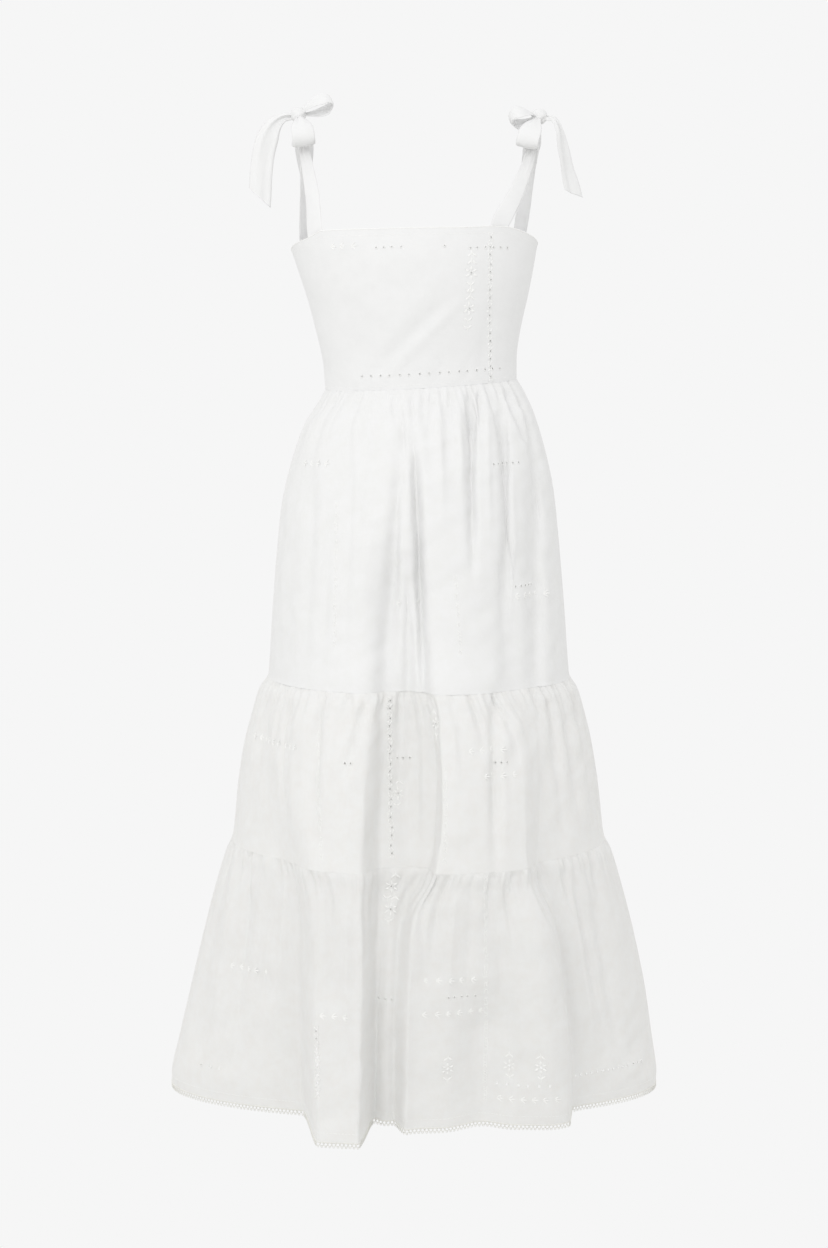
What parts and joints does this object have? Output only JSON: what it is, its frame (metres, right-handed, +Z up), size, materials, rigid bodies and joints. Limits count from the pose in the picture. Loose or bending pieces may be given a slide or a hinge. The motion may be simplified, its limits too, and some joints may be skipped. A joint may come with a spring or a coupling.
{
  "type": "maxi dress",
  "caption": "Sleeveless cotton maxi dress with shoulder ties, fitted bodice and a gathered tiered skirt with eyelet embroidery, filled out and hollow as worn.",
  "frame": {"origin": "at shoulder height, midway between the two shoulder bows, where the wearer's shoulders hold the dress", "axes": "+Z up, -Y out of the front of the dress, +X to the right as seen from the front"},
  "size_m": [0.662, 0.5145, 1.3524],
  "materials": {
    "lined_cotton": "matte white cotton over a lining",
    "single_cotton": "matte white cotton in a single, slightly sheer layer",
    "cotton_lace": "matte looped cotton edging"
  },
  "bodies": {
    "root": {"bodice_front": "lined_cotton", "bodice_back": "lined_cotton", "skirt_tier1_front": "lined_cotton", "skirt_tier1_back": "lined_cotton", "skirt_tier2_front": "single_cotton", "skirt_tier2_back": "single_cotton", "skirt_tier3_front": "single_cotton", "skirt_tier3_back": "single_cotton", "hem_lace_front": "cotton_lace", "hem_lace_back": "cotton_lace", "strap_front_left": "lined_cotton", "strap_back_left": "lined_cotton", "strap_front_right": "lined_cotton", "strap_back_right": "lined_cotton", "bow_knot_left": "lined_cotton", "bow_knot_right": "lined_cotton", "bow_loop_upper_left": "single_cotton", "bow_loop_lower_left": "single_cotton", "bow_loop_upper_right": "single_cotton", "bow_loop_lower_right": "single_cotton", "bow_tail_front_left": "single_cotton", "bow_tail_back_left": "single_cotton", "bow_tail_front_right": "single_cotton", "bow_tail_back_right": "single_cotton"}
  },
  "joints": []
}
